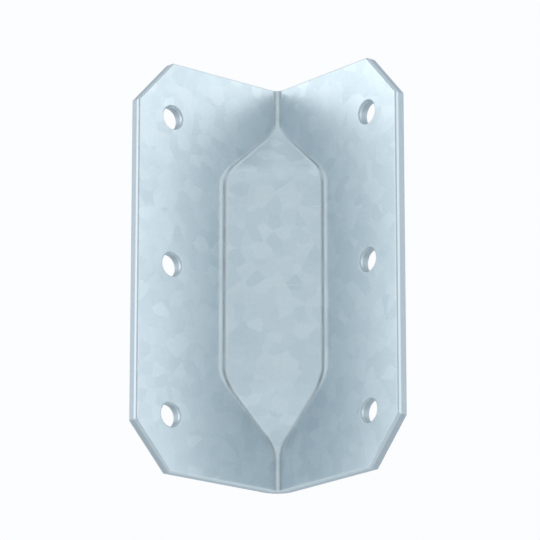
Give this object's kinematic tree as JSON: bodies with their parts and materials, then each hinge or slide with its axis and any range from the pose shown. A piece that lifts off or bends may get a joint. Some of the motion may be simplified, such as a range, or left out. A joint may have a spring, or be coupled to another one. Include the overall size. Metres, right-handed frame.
{
  "type": "gusset angle",
  "caption": "Folded sheet steel angle with cropped corners, a line of nail holes in each leg and a long diagonal gusset pressed into its bend.",
  "frame": {"origin": "below the middle of the part's box, on the lower end that it stands on", "axes": "+Z along the bend; one leg runs towards +X with its bearing face towards +Y, the other runs towards -Y with its bearing face towards -X"},
  "size_m": [0.0318, 0.0318, 0.0698],
  "materials": {
    "galvanised_steel": "hot-dip galvanised, satin"
  },
  "bodies": {
    "root": {"gusset_angle": "galvanised_steel"}
  },
  "joints": []
}
